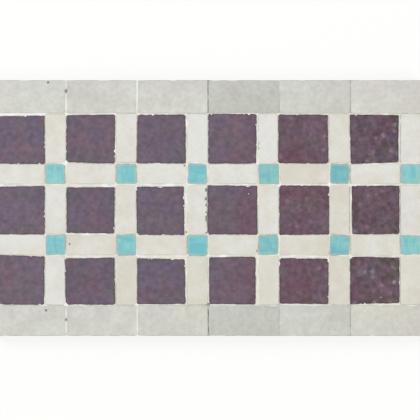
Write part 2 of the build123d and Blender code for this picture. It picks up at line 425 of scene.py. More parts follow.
class MortarSettings(PropertyGroup):
    """The casting behind the pieces and in their joints."""

    lime: colour_property("Lime", "Cream mortar of most joints", srgb(234, 232, 221))
    chalk: colour_property("Chalk", "Fresh white mortar", srgb(250, 250, 247))
    # Dark colour of the dirt in the joints and of the painted shade along the pieces.
    soil: colour_property("Soil", "Dirt along the pieces and in the narrow joints", srgb(110, 114, 98))
    cell: length_property("Cell", "Mesh spacing along the joints", 0.55 * MM, min=0.3 * MM)
    coarse_step: IntProperty(
        name="Coarse step", description="Cells to one cell away from the joints", default=6, min=1
    )
    cloud_size: length_property("Cloud size", "Size of the light and dark clouds", 7 * MM)
    grit_size: length_property("Grit size", "Size of the grit in the mortar", 0.9 * MM)
    grit_bump: length_property("Grit bump", "Height of that grit", 0.12 * MM)
    roughness: share_property("Roughness", "Roughness of the mortar", 0.92)
    lap: length_property("Lap", "How far the mortar reaches in under the chipped edges", 2.2 * MM)
    recess: length_property("Recess", "Depth of the joint surface below the faces", 0.45 * MM)
    hollow: length_property("Hollow", "How much deeper a wide joint is in its middle", 0.25 * MM)
    unevenness: length_property("Unevenness", "How much the joint surface rises and sinks", 0.3 * MM)
    darkest_joint_depth: length_property("Soiled depth", "How much deeper the darkest joints are", 0.8 * MM)
    cast_roughness: length_property("Cast roughness", "How far the cast sides are pitted", 0.45 * MM)
    # How dark the dirt and painted shade along those sides are.
    side_dirt_and_shade: share_property("Side soil", "How dirty the joints along the soiled sides are", 0.75)
    soiled_width: length_property("Soiled width", "Joints narrower than this gather dirt", 1.6 * MM)
    chalk_reach: length_property("Chalk reach", "Width of the white joint above the upper squares", 5.0 * MM)
    chalk_of_repeat: repeat_property(
        "Chalk", "How white that joint is in each repeat", (0.9, 0.9, 0.5, 0.5, 0.1, 0.0)
    )
    seam_darkness: repeat_property(
        "Seam soil", "How dark the joint after each edge tile is", (0.0, 0.0, 1.0, 0.4, 0.6, 0.3)
    )


class StageSettings(PropertyGroup):
    """Floor, light and camera."""

    floor: colour_property("Floor", "Pale floor", srgb(253, 253, 251))
    floor_share: share_property("Floor share", "How much light the floor throws back", 0.25)
    floor_glow: share_property("Floor glow", "How brightly the floor shows by itself", 0.77)
    view_span: length_property("View span", "Width of the view at the faces", 590.9 * MM)
    view_x: length_property("View X", "Camera place along the border", 2.5 * MM)
    view_y: length_property("View Y", "Camera place across the border", -2.8 * MM)
    camera_height: length_property("Camera height", "Camera above the floor", 4.0)
    lamp_size: length_property("Lamp size", "Side of the square soft lights", 2.4)
    sky: strength_property("Sky", "Strength of the even light from all round", 0.62)
    key_power: strength_property("Key", "Power of the main soft light", 62.0, "POWER")
    fill_power: strength_property("Fill", "Power of the opposite light", 32.0, "POWER")


class Solid:
    """One glazed piece as the frame gives it: its widest outline and its levels."""

    def __init__(self, name, points):
        height = points[:, 2]
        self.name = name
        self.node = name.split(" ")[0]
        self.top = height.max()
        self.back = height.min()
        widest_level = height[points[:, 0].argmax()]
        widest = points[np.abs(height - widest_level) < SAME_LEVEL][:, :2]
        if len(widest) != 2 * SIDES_OF_A_FACE:
            raise RuntimeError(f"{name} has {len(widest)} corners at its widest, not {2 * SIDES_OF_A_FACE}")
        self.centre = widest.mean(axis=0)
        angle = np.arctan2(*(widest - self.centre).T[::-1])
        self.outline = widest[np.argsort(angle)]
        self.half = (self.outline.max(axis=0) - self.outline.min(axis=0)) / 2

    def side_ends(self, side):
        """Where a side starts and ends, between its knocked-off corners."""
        return self.outline[2 * side + 1], self.outline[(2 * side + 2) % len(self.outline)]


def solids_of(node):
    """The separate solids of a frame node, in order along the border and then across it."""
    bm = bmesh.new()
    bm.from_mesh(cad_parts[node].data)
    bmesh.ops.remove_doubles(bm, verts=bm.verts, dist=TOUCHING)
    left = set(bm.verts)
    solids = []
    while left:
        island, reached = set(), [left.pop()]
        while reached:
            vertex = reached.pop()
            island.add(vertex)
            linked = {edge.other_vert(vertex) for edge in vertex.link_edges} & left
            left -= linked
            reached.extend(linked)
        solids.append(np.array([vertex.co for vertex in island]))
    bm.free()
    solids.sort(key=lambda points: tuple(points.mean(axis=0).round(4)))
    return [Solid(f"{node} {number}", points) for number, points in enumerate(solids)]


def nodes_named(start):
    """The frame nodes whose names start alike."""
    found = sorted(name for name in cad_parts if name.startswith(start))
    if not found:
        raise RuntimeError(f"the frame has no node whose name starts with {start}")
    return found


def repeat_of(node):
    """Which pattern repeat a node stands in, from 0."""
    return int(node.rsplit("_", 1)[1]) - 1


def stray(draw, most):
    """A random deviation, of at most so much either way."""
    return draw.uniform(-most, most)


def inside_distance(points, outline):
    """How far each point lies inside a convex outline that runs anticlockwise; negative outside it."""
    distance = np.full(len(points), np.inf)
    for start, end in zip(outline, np.roll(outline, -1, axis=0)):
        along = (end - start) / np.linalg.norm(end - start)
        distance = np.minimum(distance, (points - start) @ np.array((-along[1], along[0])))
    return distance


def spread_grid(grid, solid):
    """Spreads a square grid from -1 to 1 over a piece's outline, each ring of it parallel to the outline.

    Gives the spread points, the outline point beyond each of them, how far along the outline that point
    is, and where along it every side starts and the last one ends.
    """
    outline = solid.outline
    corners = [(outline[2 * i] + outline[2 * i + 1]) / 2 for i in range(SIDES_OF_A_FACE)]
    least_reach = 1e-9
    reach = np.maximum(np.abs(grid).max(axis=1), least_reach)
    x, y = (grid / reach[:, None]).T
    upright = np.abs(x) >= np.abs(y)
    side = np.where(upright, np.where(x > 0, RIGHT, LEFT), np.where(y < 0, LOWER, UPPER))
    share = np.choose(side, ((x + 1) / 2, (y + 1) / 2, (1 - x) / 2, (1 - y) / 2))
    rim = np.zeros_like(grid)
    along = np.zeros(len(grid))
    starts = [0.0]
    for i in range(SIDES_OF_A_FACE):
        path = np.array((corners[i], *solid.side_ends(i), corners[(i + 1) % SIDES_OF_A_FACE]))
        steps = np.concatenate(((0,), np.cumsum(np.linalg.norm(np.diff(path, axis=0), axis=1))))
        here = side == i
        travel = share[here] * steps[-1]
        rim[here] = np.stack([np.interp(travel, steps, path[:, axis]) for axis in (0, 1)], axis=1)
        along[here] = starts[i] + travel
        starts.append(starts[i] + steps[-1])
    return solid.centre + reach[:, None] * (rim - solid.centre), rim, along, starts


def rough(points, size, seed):
    """Smooth noise from -1 to 1 at each point, with lumps of the given size."""
    return np.array([noise.noise(Vector((x / size, y / size, seed))) for x, y in points])


def chip_list(starts, cut, wear, large, draw):
    """The chips of one piece: place along the outline, half length and depth."""
    chips = []
    roughness_of_side = [draw.uniform(TIDIEST_SIDE, 1.0) ** 2 for _ in range(SIDES_OF_A_FACE)]
    for _ in range(round(wear * starts[-1] / cut.chip_spacing)):
        centre = draw.uniform(0, starts[-1])
        half = cut.shortest_chip * (cut.longest_chip / cut.shortest_chip) ** (draw.random() ** SMALL_CHIPS)
        depth = half * draw.uniform(SHALLOWEST_CHIP, 1.0)
        side = sum(centre > start for start in starts[1:-1])
        if draw.random() < CHIP_ODDS * roughness_of_side[side]:
            chips.append((centre, half, depth))
    for side, share, half, depth in large:
        chips.append((starts[side] + share * (starts[side + 1] - starts[side]), half * MM, depth * MM))
    return chips


def broken_edge(rim, along, perimeter, cut, wear, chips, seed):
    """How far the glaze is broken back from the outline, at places along it."""
    ragged = np.maximum(0, rough(rim, cut.ragged_length, seed) + 0.35)
    fine = np.abs(rough(rim, cut.ragged_length / FINE_BREAKS, seed + 5))
    edge = cut.ragged * wear * (0.25 + 0.75 * ragged + 0.35 * fine)
    for centre, half, depth in chips:
        off = np.abs((along - centre + perimeter / 2) % perimeter - perimeter / 2) / half
        notch = 1 - np.minimum(off, 1) ** CHIP_BLUNTNESS
        edge = np.maximum(edge, (1 + 0.5 * fine) * depth * notch)
    return np.minimum(edge, cut.deepest_chip)


def divide_edges(bm, first, near_enough, divisible=lambda edge: True):
    """Halves the edges of a new square grid that may be divided and have both ends near enough."""
    near = {vertex for vertex in bm.verts[first:] if near_enough(vertex.co.xy)}
    edges = [edge for edge in bm.edges if set(edge.verts) <= near and divisible(edge)]
    bmesh.ops.subdivide_edges(bm, edges=edges, cuts=1, use_grid_fill=True)
    bm.verts.ensure_lookup_table()


def refine_border(bm, first, half, widths):
    """Halves the mesh spacing along the border of a new square grid, once for each width."""
    def border_distance(place):
        return min((1 - abs(place.x)) * half[0], (1 - abs(place.y)) * half[1])

    for width in widths:
        divide_edges(bm, first, lambda place: border_distance(place) < width)


def refine_spots(bm, first, solid, finest):
    """Makes the mesh of a new square grid finer, to about a given spacing, round the spots on a piece."""
    def length(offset):
        return np.linalg.norm(np.array(offset) * solid.half)

    def divisible(edge):
        return length(edge.verts[0].co.xy - edge.verts[1].co.xy) > finest

    for x, y, radius in (*DIRT_SPOTS, *PINHOLES):
        spot = (np.array((x, y)) * MM - solid.centre) / solid.half
        if np.abs(spot).max() < 1:
            for radii in SPOT_MESH_REACHES:
                reach = radii * radius * MM
                divide_edges(bm, first, lambda place: length(np.array(place) - spot) < reach, divisible)


def dirt(points):
    """How dirty the spots make each point, from 0 to 1."""
    share = np.zeros(len(points))
    for x, y, radius in DIRT_SPOTS:
        off = np.linalg.norm(points / MM - (x, y), axis=1) / radius
        near = off < SPOT_REACH
        uneven = 1 + 0.5 * rough(points[near], SPOT_LUMP_SIZE, seed=51.0)
        share[near] = np.maximum(share[near], np.clip(1 - (off[near] * uneven) ** 2, 0, 1))
    return share


def burst(points):
    """How far each point lies inside the nearest pinhole; negative outside it."""
    depth = np.full(len(points), -np.inf)
    for x, y, radius in PINHOLES:
        off = np.linalg.norm(points - np.array((x, y)) * MM, axis=1)
        depth = np.maximum(depth, radius * MM - off)
    return depth


def extrude_rim(bm, edges):
    """Extrudes an open rim, and gives the vertices and the edges of the new one."""
    made = bmesh.ops.extrude_edge_only(bm, edges=edges)["geom"]
    verts = {item for item in made if isinstance(item, bmesh.types.BMVert)}
    rim = [item for item in made if isinstance(item, bmesh.types.BMEdge) and set(item.verts) <= verts]
    return verts, rim


def add_ring(bm, edges, solid, lump_size, level, inset, draw):
    """Carries an open rim down to a level of the leaning side, and gives the new rim."""
    verts, rim = extrude_rim(bm, edges)
    seed = draw.uniform(*NOISE_SEEDS)
    for vertex in verts:
        lump = noise.noise(Vector((vertex.co.x, vertex.co.y, level)) / lump_size + Vector((0, 0, seed)))
        held = 1 - (inset * (1 + SIDE_LUMP_SHARE * lump)) / solid.half
        vertex.co.x = solid.centre[0] + (vertex.co.x - solid.centre[0]) * held[0]
        vertex.co.y = solid.centre[1] + (vertex.co.y - solid.centre[1]) * held[1]
        vertex.co.z = level
    return rim


def add_glazed_piece(bm, solid, cut, wear, large_chips, marks):
    """Adds one chipped and glazed piece to a bmesh.

    The marks are what its finish reads: each has its value in the middle of the piece, and how much higher
    that is at the right side and at the upper side.
    """
    draw = random.Random(solid.name)
    fields = {name: bm.verts.layers.float[name] for name in ("bare", "dirt", "seed", *marks)}
    first = len(bm.verts)
    cells = [max(FEWEST_CELLS, round(2 * half / cut.cell)) for half in solid.half]
    bmesh.ops.create_grid(bm, x_segments=cells[0], y_segments=cells[1], size=1)
    bm.verts.ensure_lookup_table()
    refine_border(bm, first, solid.half, (2 * cut.finest_band, cut.finest_band))
    refine_spots(bm, first, solid, SPOT_CELL_SHARE * cut.cell)
    verts = bm.verts[first:]
    points, rim, along, starts = spread_grid(np.array([vertex.co.xy for vertex in verts]), solid)
    inside = np.maximum(inside_distance(points, solid.outline), 0)
    chips = chip_list(starts, cut, wear, large_chips, draw)
    bare = broken_edge(rim, along, starts[-1], cut, wear, chips, draw.uniform(*NOISE_SEEDS)) - inside
    bare = np.maximum(bare, burst(points))
    waves = rough(points, cut.wave_length, draw.uniform(*NOISE_SEEDS)) - 1
    crumbs = cut.crumb_height * rough(points, cut.crumb_size, draw.uniform(*NOISE_SEEDS))
    shoulder = np.clip(1 + bare / cut.shoulder, 0, 1) ** 2
    drop = np.where(bare > 0, CHIP_SLOPE * bare + crumbs, 0) + cut.roll * shoulder
    drop = np.where(inside < TOUCHING, np.maximum(drop, cut.arris), drop)
    spots = dirt(points)
    heights = solid.top + cut.wave_height * waves - drop - cut.pit_depth * spots
    for vertex, point, height, beyond, spot in zip(verts, points, heights, bare, spots):
        vertex.co = (*point, height)
        vertex[fields["bare"]] = beyond / MM
        vertex[fields["dirt"]] = spot
    rim_edges = [edge for edge in bm.edges if edge.is_boundary]
    lean = math.tan(cut.side_lean)
    for share in RING_DEPTHS:
        depth = share * (solid.top - solid.back)
        inset = LEAN_SHARE * lean * depth
        rim_edges = add_ring(bm, rim_edges, solid, cut.side_lump, solid.top - depth, inset, draw)
    bmesh.ops.edgeloop_fill(bm, edges=rim_edges)
    bm.verts.ensure_lookup_table()
    for vertex in bm.verts[first + len(verts):]:
        vertex[fields["bare"]] = cut.deepest_chip / MM
    seed = draw.uniform(*FINISH_SEEDS)
    for vertex in bm.verts[first:]:
        vertex[fields["seed"]] = seed
        along_x = (vertex.co.x - solid.centre[0]) / solid.half[0]
        along_y = (vertex.co.y - solid.centre[1]) / solid.half[1]
        for name, (middle, drift_x, drift_y) in marks.items():
            vertex[fields[name]] = middle + drift_x * along_x + drift_y * along_y


def finish_object(bm, name, finish, replaced):
    """Makes an object of a bmesh, that rides with the panel and stands for a frame node."""
    bmesh.ops.recalc_face_normals(bm, faces=bm.faces)
    for face in bm.faces:
        face.smooth = True
    mesh = bpy.data.meshes.new(name)
    bm.to_mesh(mesh)
    bm.free()
    mesh.set_sharp_from_angle(angle=SHARP_ANGLE)
    mesh.materials.append(finish)
    piece = bpy.data.objects.new(name, mesh)
    bpy.context.scene.collection.objects.link(piece)
    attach(piece, BODY)
    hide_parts(replaced)


def dress_nodes(start, cut, wear, finish, marks_of):
    """Models every node of one family again as chipped, glazed pieces."""
    for node in nodes_named(start):
        bm = bmesh.new()
        for name in ("bare", "dirt", "seed", "tint", "tone", "fleck"):
            bm.verts.layers.float.new(name)
        for solid in solids_of(node):
            draw = random.Random(f"marks of {solid.name}")
            add_glazed_piece(bm, solid, cut, wear, LARGE_CHIPS.get(node, ()), marks_of(node, solid, draw))
        finish_object(bm, f"{node}_glazed", finish, node)


class Finish:
    """A node material in the making. Places are in metres, and values may be numbers, colours or sockets."""

    def __init__(self, name):
        self.material = bpy.data.materials.new(name)
        self.material.use_nodes = True
        self.tree = self.material.node_tree
        self.shader = self.tree.nodes["Principled BSDF"]
        self.place = self.tree.nodes.new("ShaderNodeTexCoord").outputs["Object"]

    def put(self, socket, value):
        """Links a socket to another, or sets its value."""
        if isinstance(value, bpy.types.NodeSocket):
            self.tree.links.new(value, socket)
        elif socket.type == "RGBA" and len(value) == 3:
            socket.default_value = (*value, 1)
        else:
            socket.default_value = value

    def surface(self, **values):
        """Sets the shader's sockets, named in lower case."""
        for name, value in values.items():
            self.put(self.shader.inputs[name.replace("_", " ").title().replace("Ior", "IOR")], value)

    def field(self, name):
        """A mark that the mesh carries at its vertices."""
        node = self.tree.nodes.new("ShaderNodeAttribute")
        node.attribute_name = name
        return node.outputs["Fac"]

    def parts(self, colour):
        """The three parts of a colour."""
        node = self.tree.nodes.new("ShaderNodeSeparateColor")
        self.put(node.inputs["Color"], colour)
        return node.outputs

    def clouds(self, size, detail=2.0, stretch=(1, 1, 1), shift=0.0):
        """Three fields of noise from 0 to 1, different on every piece, with lumps of the given size."""
        place = self.place
        if stretch != (1, 1, 1):
            mapping = self.tree.nodes.new("ShaderNodeMapping")
            self.put(mapping.inputs["Vector"], place)
            self.put(mapping.inputs["Scale"], stretch)
            place = mapping.outputs["Vector"]
        node = self.tree.nodes.new("ShaderNodeTexNoise")
        node.noise_dimensions = "4D"
        self.put(node.inputs["Vector"], place)
        self.put(node.inputs["W"], self.math("ADD", self.field("seed"), shift))
        self.put(node.inputs["Scale"], 1 / size)
        self.put(node.inputs["Detail"], detail)
        return self.parts(node.outputs["Color"])

    def spots(self, spacing):
        """How far off the nearest of some scattered spots is, in spacings, and that spot's own number."""
        node = self.tree.nodes.new("ShaderNodeTexVoronoi")
        self.put(node.inputs["Vector"], self.place)
        self.put(node.inputs["Scale"], 1 / spacing)
        return node.outputs["Distance"], self.parts(node.outputs["Color"])[0]

    def math(self, operation, first, second):
        node = self.tree.nodes.new("ShaderNodeMath")
        node.operation = operation
        self.put(node.inputs[0], first)
        self.put(node.inputs[1], second)
        return node.outputs[0]

    def add_up(self, first, factor, added):
        """A value times a factor, plus another value."""
        result = self.math("MULTIPLY_ADD", first, factor)
        self.put(result.node.inputs[2], added)
        return result

    def ease(self, value, low, high, start=0.0, end=1.0):
        """Goes smoothly from start to end as the value goes from low to high."""
        node = self.tree.nodes.new("ShaderNodeMapRange")
        node.interpolation_type = "SMOOTHSTEP"
        names = ("Value", "From Min", "From Max", "To Min", "To Max")
        for name, number in zip(names, (value, low, high, start, end)):
            self.put(node.inputs[name], number)
        return node.outputs["Result"]

    def mix(self, share, first, second):
        """Goes from the first colour to the second."""
        node = self.tree.nodes.new("ShaderNodeMix")
        node.data_type = "RGBA"
        self.put(node.inputs["Factor"], share)
        self.put(next(s for s in node.inputs if s.name == "A" and s.type == "RGBA"), first)
        self.put(next(s for s in node.inputs if s.name == "B" and s.type == "RGBA"), second)
        return next(s for s in node.outputs if s.type == "RGBA")

    def shade(self, colour, factor):
        """A colour made darker or lighter by a factor."""
        node = self.tree.nodes.new("ShaderNodeVectorMath")
        node.operation = "SCALE"
        self.put(node.inputs[0], colour)
        self.put(node.inputs["Scale"], factor)
        return node.outputs[0]

    def bump(self, height, distance, under=None):
        """Fine relief of a given height, on top of another if there is one."""
        node = self.tree.nodes.new("ShaderNodeBump")
        self.put(node.inputs["Strength"], 1.0)
        self.put(node.inputs["Height"], height)
        self.put(node.inputs["Distance"], distance)
        if under is not None:
            self.put(node.inputs["Normal"], under)
        return node.outputs["Normal"]

    def bare_share(self):
        """1 where the glaze is gone and 0 where it is whole, with a crumbled line between."""
        crumbled = self.add_up(self.clouds(CRUMBLE_SIZE, shift=3.0)[0], 0.5, -0.25)
        return self.ease(self.math("ADD", self.field("bare"), crumbled), -0.06, 0.10)

    def glazed(self, look, colour, gloss, bumps, soil):
        """Finishes a glazed piece: the glaze, the bare clay where it is broken away, and the dirt on both.

        Gloss and bumps are fields of noise. The clay is darker along the broken line of the glaze, where dirt
        and shade settle.
        """
        bare = self.bare_share()
        grain = self.clouds(GRAIN_SIZE, detail=3.0, shift=9.0)
        # The clay is darker along the broken line of the glaze, with dirt and painted shade.
        line = self.ease(self.field("bare"), 0.0, 0.9, look.broken_line_dirt_and_shade, 1.0)
        grainy = self.ease(grain[1], 0.3, 0.7, 0.88, 1.06)
        clay = self.shade(look.biscuit, self.math("MULTIPLY", line, grainy))
        roughness = self.ease(gloss, 0.3, 0.7, *look.roughness)
        spots = self.ease(self.add_up(grain[0], 0.4, self.field("dirt")), 0.3, 0.8, 0.0, 0.85)
        self.surface(
            base_color=self.mix(spots, self.mix(bare, colour, clay), soil),
            roughness=self.math("MAXIMUM", roughness, self.math("MULTIPLY", bare, CLAY_ROUGHNESS)),
            normal=self.bump(bumps, GLAZE_BUMP, under=self.bump(grain[2], GRAIN_BUMP)),
        )
        return self.material


def aubergine_glaze(look):
    """Dusty violet to plum, with soft clouds, and with olive patches and pale flecks on some squares; the
    pale flecks are painted glints of light.
    """
    finish = Finish("aubergine_glaze")
    fleck = finish.field("fleck")
    large = finish.clouds(look.cloud_size)
    small = finish.clouds(look.mottle_size, detail=3.0, shift=20.0)
    colour = finish.mix(finish.field("tint"), look.violet, look.plum)
    thick = finish.add_up(finish.field("tint"), -0.45, 1.0)
    for cloud, tint in zip(large, (look.blue_cloud, look.red_cloud, look.grey_cloud)):
        share = finish.math("MULTIPLY", finish.ease(cloud, 0.45, 0.65, 0.0, 0.6), thick)
        colour = finish.mix(share, colour, tint)
    patches = finish.ease(finish.clouds(look.patch_size, shift=50.0)[1], 0.48, 0.64, 0.0, 0.75)
    colour = finish.mix(finish.math("MULTIPLY", patches, fleck), colour, look.olive)
    # Pale flecks on the plum squares: painted glints, highlights of reflected light painted into the colour.
    off, own = finish.spots(look.glint_spacing)
    spots = finish.ease(finish.add_up(small[2], 0.9, off), 0.42, 0.82, 0.8, 0.0)
    tint = finish.mix(finish.ease(own, 0.45, 0.75), look.lilac_glint, look.tan_glint)
    colour = finish.mix(finish.math("MULTIPLY", spots, fleck), colour, tint)
    contrast = finish.add_up(fleck, 0.17, 0.21)
    mottle = finish.add_up(finish.ease(small[0], 0.25, 0.75, -1.0, 1.0), contrast, 1.0)
    # Darker towards the edge of a square: partly thinner glaze where it rolls over, partly painted shade
    # along the edge.
    rim = finish.ease(finish.add_up(small[1], 1.6, finish.field("bare")), -1.4, 0.6, 1.0, 0.62)
    tone = finish.math("ADD", finish.field("tone"), 1.0)
    colour = finish.shade(colour, finish.math("MULTIPLY", finish.math("MULTIPLY", mottle, rim), tone))
    return finish.glazed(look, colour, gloss=small[1], bumps=small[2], soil=look.pit)


def turquoise_glaze(look, soil):
    """Streaky turquoise, paler where the glaze is thin."""
    finish = Finish("turquoise_glaze")
    across = finish.clouds(look.cloud_size, detail=4.0, stretch=(0.6, 1.5, 1.0))
    down = finish.clouds(look.streak_size, detail=4.0, stretch=(1.7, 0.4, 1.0), shift=15.0)
    pale = finish.add_up(finish.field("tint"), 0.4, finish.math("SUBTRACT", across[0], 0.2))
    colour = finish.mix(finish.ease(pale, 0.32, 0.68), look.deep, look.pale)
    colour = finish.mix(finish.ease(down[1], 0.40, 0.70, 0.0, 0.8), colour, look.deep)
    thin = finish.ease(finish.add_up(across[2], 3.0, finish.field("bare")), -1.6, 1.6, 0.0, 0.6)
    colour = finish.mix(thin, colour, look.rim)
    colour = finish.shade(colour, finish.add_up(finish.field("tone"), 0.06, 1.0))
    return finish.glazed(look, colour, gloss=down[2], bumps=across[1], soil=soil)


def white_glaze(look, soil):
    """Milky white to cream, strip by strip, with faint clouds."""
    finish = Finish("white_glaze")
    clouds = finish.clouds(look.cloud_size)
    mottle = finish.clouds(look.mottle_size, detail=4.0, shift=11.0)
    warm = finish.math("ADD", finish.field("tint"), finish.ease(clouds[0], 0.25, 0.75, -0.4, 0.4))
    colour = finish.mix(warm, look.milk, look.cream)
    colour = finish.mix(finish.ease(mottle[2], 0.50, 0.72, 0.0, 0.35), colour, look.blush)
    colour = finish.shade(colour, finish.ease(mottle[1], 0.25, 0.75, 0.965, 1.03))
    return finish.glazed(look, colour, gloss=mottle[0], bumps=clouds[2], soil=soil)


def grey_glaze(look, soil):
    """Cloudy pale grey with a few pinholes."""
    finish = Finish("pearl_grey_glaze")
    clouds = finish.clouds(look.cloud_size, detail=3.0)
    mottle = finish.clouds(look.mottle_size, detail=3.0, shift=14.0)
    stone = finish.add_up(finish.field("tint"), 0.4, clouds[0])
    colour = finish.mix(finish.ease(stone, 0.30, 0.75), look.pearl, look.stone)
    tone = finish.add_up(finish.field("tone"), 0.13, 1.0)
    mottled = finish.ease(mottle[1], 0.25, 0.75, 0.93, 1.06)
    colour = finish.shade(colour, finish.math("MULTIPLY", tone, mottled))
    pits = finish.ease(finish.clouds(look.pit_size, detail=1.0, shift=33.0)[0], 0.74, 0.80, 0.0, 0.7)
    colour = finish.mix(pits, colour, look.pit)
    return finish.glazed(look, colour, gloss=mottle[2], bumps=clouds[1], soil=soil)


def lime_mortar(look):
    """Cream mortar with grit, fresh and white or darkened with dirt and painted shade where the mesh says so.
    """
    finish = Finish("lime_mortar")
    clouds = finish.clouds(look.cloud_size, detail=4.0)
    grain = finish.clouds(look.grit_size, detail=4.0, shift=8.0)
    colour = finish.mix(finish.field("chalk"), look.lime, look.chalk)
    colour = finish.shade(colour, finish.ease(clouds[0], 0.25, 0.75, 0.92, 1.03))
    # Dirt, and painted shade along the pieces, in the dark joint colour.
    colour = finish.mix(finish.math("MULTIPLY", finish.field("soil"), 0.9), colour, look.soil)
    colour = finish.shade(colour, finish.ease(grain[0], 0.2, 0.8, 0.94, 1.04))
    finish.surface(base_color=colour, roughness=look.roughness, normal=finish.bump(grain[1], look.grit_bump))
    return finish.material


class ZELLIGE_OT_aubergine_squares(Operator):
    """Model the chipped dark squares"""

    bl_idname = "zellige.aubergine_squares"
    bl_label = "Aubergine Squares"

    def execute(self, context):
        look, cut = context.scene.zellige_aubergine, context.scene.zellige_cut

        def marks(node, solid, draw):
            repeat = repeat_of(node) % len(look.plum_share)
            plum_drift = (look.plum_drift[repeat] + stray(draw, 0.15), stray(draw, 0.2))
            tone_drift = (stray(draw, 0.04), stray(draw, 0.04))
            return {
                "tint": (look.plum_share[repeat], *plum_drift),
                "fleck": (look.fleck_and_glint_share[repeat], 0, 0),
                "tone": (look.lightness[repeat] + stray(draw, 0.02), *tone_drift),
            }

        finish = aubergine_glaze(look)
        dress_nodes("aubergine_square", cut, look.wear, finish, marks)
        return {"FINISHED"}


class ZELLIGE_OT_turquoise_squares(Operator):
    """Model the small turquoise squares at the crossings"""

    bl_idname = "zellige.turquoise_squares"
    bl_label = "Turquoise Squares"

    def execute(self, context):
        scene = context.scene
        look, cut, mortar = scene.zellige_turquoise, scene.zellige_cut, scene.zellige_mortar

        def marks(node, solid, draw):
            repeat = repeat_of(node) % len(look.pale_of_repeat)
            return {
                "tint": (look.pale_of_repeat[repeat] + stray(draw, 0.15), 0, 0),
                "tone": (look.tone_of_repeat[repeat] + stray(draw, 0.4), 0, 0),
            }

        finish = turquoise_glaze(look, mortar.soil)
        dress_nodes("turquoise_square", cut, look.wear, finish, marks)
        return {"FINISHED"}


class ZELLIGE_OT_white_strips(Operator):
    """Model the white strips"""

    bl_idname = "zellige.white_strips"
    bl_label = "White Strips"

    def execute(self, context):
        scene = context.scene
        look, cut, mortar = scene.zellige_white, scene.zellige_cut, scene.zellige_mortar

        def marks(node, solid, draw):
            repeat = repeat_of(node) % len(look.cream_share)
            lower = -solid.centre[1] / cad_box[1].y
            cream = look.cream_share[repeat] + look.cream_drift[repeat] * lower
            return {"tint": (cream + stray(draw, 0.1), 0, stray(draw, 0.15))}

        finish = white_glaze(look, mortar.soil)
        dress_nodes("white_", cut, look.wear, finish, marks)
        return {"FINISHED"}


class ZELLIGE_OT_grey_edge_tiles(Operator):
    """Model the cut grey tiles of the edge courses"""

    bl_idname = "zellige.grey_edge_tiles"
    bl_label = "Grey Edge Tiles"

    def execute(self, context):
        scene = context.scene
        look, cut, mortar = scene.zellige_grey, scene.zellige_cut, scene.zellige_mortar

        def marks(node, solid, draw):
            repeat = repeat_of(node) % len(look.tone_of_repeat)
            tone = look.tone_of_repeat[repeat] + stray(draw, 0.08)
            return {
                "tint": (look.stone_of_repeat[repeat], 0, 0),
                "tone": (tone, look.tone_drift[repeat], stray(draw, 0.15)),
            }

        finish = grey_glaze(look, mortar.soil)
        dress_nodes("grey_", cut, look.wear, finish, marks)
        return {"FINISHED"}


def grid_lines(low, high, spans, fine, coarse_step):
    """Lines from low to high: closely spaced inside the spans, and only every so many of them elsewhere."""
    lines = np.linspace(low, high, round((high - low) / fine) + 1)
    number = np.arange(len(lines))
    kept = (number % coarse_step == 0) | (number == number[-1])
    for start, end in spans:
        kept |= (lines > start) & (lines < end)
    return lines[kept]


def side_spans(solids, axis, reach):
    """Where the sides that face along an axis lie on it, with a reach to both sides of each."""
    sides = (LEFT, RIGHT) if axis == 0 else (LOWER, UPPER)
    for solid in solids:
        for side in sides:
            places = [end[axis] for end in solid.side_ends(side)]
            yield min(places) - reach, max(places) + reach


def side_gaps(vertex, low, high):
    """How far a vertex is inside the four sides of a box: low and high X, low and high Y."""
    return vertex.co.x - low.x, high.x - vertex.co.x, vertex.co.y - low.y, high.y - vertex.co.y


